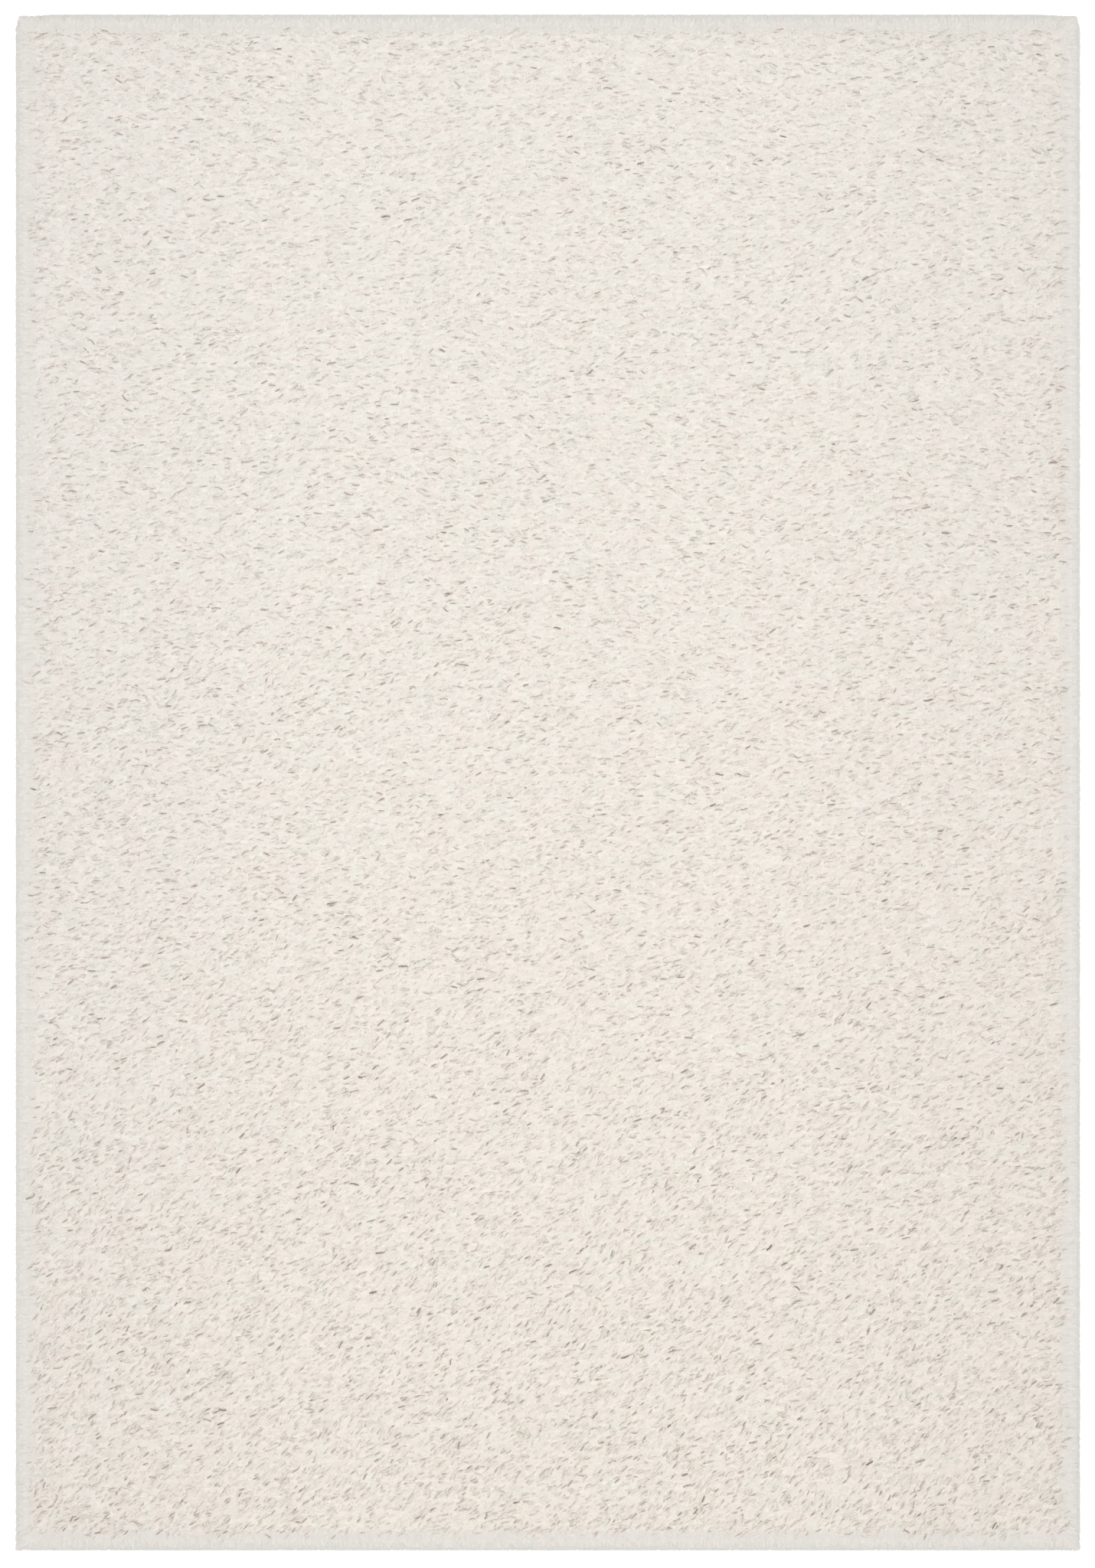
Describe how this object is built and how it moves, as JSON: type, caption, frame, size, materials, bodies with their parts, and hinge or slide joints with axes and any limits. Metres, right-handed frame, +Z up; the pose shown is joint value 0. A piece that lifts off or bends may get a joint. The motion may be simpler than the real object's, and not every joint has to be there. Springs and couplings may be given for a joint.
{
  "type": "shag rug",
  "caption": "Rectangular shag rug in plain cream yarn, lying flat, with a dense lumpy pile that rolls down over its rim.",
  "frame": {"origin": "middle of the rug's underside, on the floor", "axes": "+Z up out of the pile, +Y along the rug's length towards the end with the two cut corners, +X across its width"},
  "size_m": [1.6, 2.309, 0.0334],
  "materials": {
    "cream_yarn": "dull, soft, heat-set shag yarn in plain cream"
  },
  "bodies": {
    "root": {"shag_pile": "cream_yarn"}
  },
  "joints": []
}
